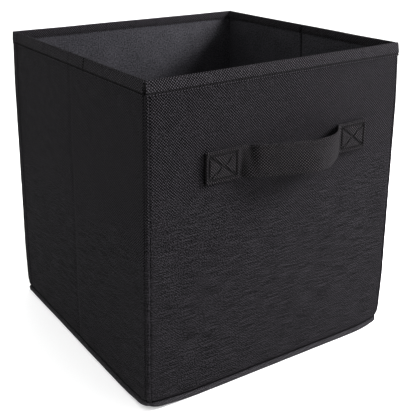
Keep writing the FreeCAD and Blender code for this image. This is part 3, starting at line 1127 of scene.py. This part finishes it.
def box_paths(left):
    """The crossed box of stitching on one sewn end."""
    start = STRAP_LEFT if left else STRAP_RIGHT - SEWN_LENGTH
    x0, x1 = start + THREAD_INSET, start + SEWN_LENGTH - THREAD_INSET
    z0, z1 = STRAP_LOW + THREAD_INSET, STRAP_HIGH - THREAD_INSET
    corners = [((x0, z0), (x1, z0)), ((x1, z0), (x1, z1)), ((x1, z1), (x0, z1)), ((x0, z1), (x0, z0))]
    corners += [((x0, z0), (x1, z1)), ((x0, z1), (x1, z0))]
    rows = []
    for (ax, az), (bx, bz) in corners:
        row = []
        for t in np.linspace(0, 1, 9):
            x, z = ax + (bx - ax) * t, az + (bz - az) * t
            bow = strap_place(x, (z - STRAP_LOW) / STRAP_HEIGHT)[0]
            row.append((x, -HALF_DEPTH - bow - strap_half_thickness(x, z) - 0.05 * MM, z))
        rows.append(settle(row))
    return rows


# ---------------------------------------------------------------- base

CUSHION_CELL = 6 * MM
CUSHION_RINGS = 21
# The rounded edge of a cushion: the share of the way out where it starts, and how far it drops
CUSHION_EDGE = 0.97
CUSHION_DROP = 0.12
CUSHION_BUMPS = 55 * MM


def flat_cushion(name, half_x, half_y, radius, low, high, material, puff=0.0, settled=False):
    """A thin cloth-covered slab with soft edges, a little uneven on top."""
    plan = rounded_square(half_x, half_y, radius, CUSHION_CELL)
    shares = np.linspace(1, 0, CUSHION_RINGS + 1)[:-1]
    points, places, faces = [], [], []
    around = len(plan)
    layers = []
    for top in (True, False):
        rings = []
        for share in shares:
            ring = []
            for p, _ in plan:
                q = p * share
                fall = max(0.0, share - CUSHION_EDGE) / (1 - CUSHION_EDGE)
                lift = puff * ripple(q[0], q[1], CUSHION_BUMPS, 61.0 if top else 62.0) * (1 - fall)
                drop = (high - low) * CUSHION_DROP * fall**2
                z = high - drop + lift if top else low + drop
                ring.append(len(points))
                points.append((q[0], q[1], z))
                places.append((q[0], q[1]))
            rings.append(ring)
        centre = len(points)
        points.append((0, 0, high if top else low))
        places.append((0, 0))
        for a, b in zip(rings, rings[1:]):
            for k in range(around):
                m = (k + 1) % around
                faces.append((a[k], a[m], b[m], b[k]) if top else (a[k], b[k], b[m], a[m]))
        for k in range(around):
            m = (k + 1) % around
            last = rings[-1]
            faces.append((last[k], last[m], centre) if top else (last[m], last[k], centre))
        layers.append(rings)
    for k in range(around):
        m = (k + 1) % around
        faces.append((layers[1][0][k], layers[1][0][m], layers[0][0][m], layers[0][0][k]))
    if settled:
        points = settle(points)
    return finish_mesh(name, points, faces, places, material)


# ---------------------------------------------------------------- the bin

SIDE_NAMES = ("left", "right")
HEM_END_GAP = 0.2 * MM
STITCH_END_GAP = 3.0 * MM
CREASE_STITCH_GAP = 2.0 * MM
BOTTOM_INSET = 2.5 * MM
BOTTOM_CORNER = 1.0 * MM
BOTTOM_LIFT = 0.1 * MM
INSERT_CORNER = 6.0 * MM
INSERT_PUFF = 0.25 * MM
# How far the insert's board lies inside its cover: at its edges, below and above
INSERT_BOARD_GAPS = (0.8 * MM, 0.1 * MM, 0.2 * MM)


def lie_flat(piece, side, depth):
    """A piece of the front or back wall, given a mesh of its own. depth is not used for its shape."""
    wall = WALLS[side]
    tuple(wall.at(0, 0, depth))
    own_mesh(piece)


def across_crease(piece, side):
    """A piece of a side wall, with its place baked into its mesh."""
    x = WALLS[side].at(0, 0, 0)[0]
    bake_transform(piece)


def whole_walls():
    """The front and back walls: outer cloth, lining, board, hem and stitching."""
    for side, body in (("front", "front_wall"), ("back", "back_wall")):
        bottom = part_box(side + "_outer_cloth")[0].z
        outer = outer_panel(side + "_cloth", side, PANEL_END + FRONT_CORNER_RUN, bottom, False)
        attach(outer, body)
        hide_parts(side + "_outer_cloth")
        inside = lining_panel(side + "_lining_cloth", side, HALF_WIDTH - WALL, bottom, False)
        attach(inside, body)
        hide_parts(side + "_lining")
        stiffener = board_panel(side + "_board", side, body)
        hem_end = HALF_WIDTH - HEM_END_GAP
        hem = hem_band(side + "_hem_band", side, -hem_end, hem_end, False)
        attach(hem, body)
        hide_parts(side + "_hem")
        row_end = HALF_WIDTH - STITCH_END_GAP
        row = stitches(side + "_hem_stitches", hem_paths(side, -row_end, row_end))
        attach(row, body)
        lie_flat(outer, side, OUTER_CLOTH / 2)
        lie_flat(inside, side, WALL - OUTER_CLOTH / 2)
        lie_flat(stiffener, side, WALL / 2)
        lie_flat(hem, side, WALL / 2)
        lie_flat(row, side, WALL / 2)


def side_walls():
    """The two side walls, which crease inwards down their middles."""
    for side in SIDE_NAMES:
        halves = [side + "_front_half", side + "_back_half"]
        outer = outer_panel(side + "_cloth", side, SIDE_END + SIDE_CORNER_RUN, SIDE_BOTTOM, True)
        across_crease(outer, side)
        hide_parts(*[h + "_outer_cloth" for h in halves])
        inside = lining_panel(side + "_lining_cloth", side, SIDE_END, SIDE_BOTTOM, True)
        across_crease(inside, side)
        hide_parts(*[h + "_lining" for h in halves])
        for half in halves:
            board_panel(half + "_board", side, half)
        hem = hem_band(side + "_hem_band", side, -SIDE_END, SIDE_END, True)
        across_crease(hem, side)
        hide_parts(*[h + "_hem" for h in halves])
        stretches = ((-SIDE_END, -CREASE_STITCH_GAP), (CREASE_STITCH_GAP, SIDE_END))
        for half, (first, last) in zip(halves, stretches):
            row = stitches(half + "_hem_stitches", hem_paths(side, first, last))
            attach(row, half)


def seams():
    """The corner seams and the rolled seam round the bottom."""
    for x_sign, x_name in ((-1, "left"), (1, "right")):
        for y_sign, y_name, body in ((-1, "front", "front_wall"), (1, "back", "back_wall")):
            node = y_name + "_" + x_name + "_corner_seam"
            bead = corner_bead(node + "_bead", x_sign, y_sign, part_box(node)[0].z)
            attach(bead, body)
            lie_flat(bead, y_name, WALL / 2)
            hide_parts(node)
    roll = bottom_roll("bottom_roll")
    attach(roll, "front_wall")
    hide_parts("bottom_seam_roll")
    bottom = flat_cushion(
        "bottom_panel",
        HALF_WIDTH - BOTTOM_INSET,
        HALF_DEPTH - BOTTOM_INSET,
        BOTTOM_CORNER,
        BOTTOM_LIFT,
        BOTTOM_CLOTH,
        lining,
        settled=True,
    )
    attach(bottom, "front_wall")
    for piece in (roll, bottom):
        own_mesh(piece)
    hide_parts("bottom_cloth")


def base_insert():
    """The loose base."""
    pad = flat_cushion(
        "insert_cover",
        insert_high.x,
        insert_high.y,
        INSERT_CORNER,
        insert_under,
        insert_high.z,
        insert_felt,
        puff=INSERT_PUFF,
    )
    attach(pad, "base_insert")
    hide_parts("insert_top_cloth", "insert_bottom_cloth")
    low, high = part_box("insert_board")
    edge_gap, lower_gap, upper_gap = INSERT_BOARD_GAPS
    stiffener = flat_cushion(
        "insert_board_shape",
        high.x - edge_gap,
        high.y - edge_gap,
        INSERT_CORNER,
        low.z + lower_gap,
        high.z - upper_gap,
        board,
    )
    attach(stiffener, "base_insert")
    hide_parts("insert_board")


def handle():
    """The strap and the stitching that holds its ends."""
    strap = strap_mesh("handle_strap_cloth")
    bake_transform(strap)
    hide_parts("handle_strap", "handle_left_end", "handle_right_end")
    for name in SIDE_NAMES:
        paths = box_paths(name == "left")
        row_name = "handle_" + name + "_box_stitches"
        rows = stitches(row_name, paths, pitch=2.6 * MM, length=2.1 * MM, thickness=0.6 * MM)
        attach(rows, "front_wall")
        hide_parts("handle_" + name + "_stitching")


# ---------------------------------------------------------------- studio

FLOOR_HALF = 6.0
FLOOR_DROP = 0.2 * MM
FLOOR_GLOW = 0.28
WORLD_STRENGTH = 1.3
KEY_PLACE = (0.68, -0.52, 0.66)
KEY_AIM = (0, 0, 0.2)
KEY_SIZE = 0.42
KEY_WATTS = 30.0
KEY_COLOUR = (0.98, 0.96, 1.0)
CAMERA_PLACE = (-0.3946, -0.6016, 0.4040)
CAMERA_TURN = (67.90, -0.40, -34.04)
CAMERA_LENS = 65.93
CAMERA_SENSOR = 36.0


def floor():
    """A plain pale floor, just below the bin."""
    material, _, shader = new_material("pale_floor", 0.5)
    shader.inputs["Base Color"].default_value = rgb(0.9, 0.9, 0.9)
    shader.inputs["Roughness"].default_value = 0.9
    shader.inputs["Emission Color"].default_value = rgb(1, 1, 1)
    shader.inputs["Emission Strength"].default_value = FLOOR_GLOW
    corners = [(x * FLOOR_HALF, y * FLOOR_HALF, 0) for x, y in ((-1, -1), (1, -1), (1, 1), (-1, 1))]
    mesh = bpy.data.meshes.new("studio_floor")
    mesh.from_pydata(corners, [], [(0, 1, 2, 3)])
    mesh.materials.append(material)
    made = new_object("studio_floor", mesh)
    made.location.z = -FLOOR_DROP


def key_light():
    """One soft light, high up on the right."""
    lamp = bpy.data.lights.new("key_light", "AREA")
    lamp.shape = "DISK"
    lamp.size = KEY_SIZE
    lamp.energy = KEY_WATTS
    lamp.color = KEY_COLOUR
    made = new_object("key_light", lamp)
    made.location = KEY_PLACE
    made.rotation_euler = (Vector(KEY_AIM) - Vector(KEY_PLACE)).to_track_quat("-Z", "Y").to_euler()


def pale_world():
    """Even light from all round, shown with plain colours."""
    world = bpy.data.worlds.new("studio")
    world.use_nodes = True
    background = world.node_tree.nodes["Background"]
    background.inputs["Color"].default_value = rgb(1, 1, 1)
    background.inputs["Strength"].default_value = WORLD_STRENGTH
    bpy.context.scene.world = world
    bpy.context.scene.view_settings.view_transform = "Standard"


def camera():
    """The camera, from the front left and a little above."""
    seen = bpy.data.cameras.new("camera")
    seen.sensor_width = CAMERA_SENSOR
    seen.lens = CAMERA_LENS
    made = new_object("camera", seen)
    made.location = CAMERA_PLACE
    made.rotation_euler = [math.radians(a) for a in CAMERA_TURN]
    bpy.context.scene.camera = made


whole_walls()
side_walls()
seams()
base_insert()
handle()
floor()
pale_world()
key_light()
camera()
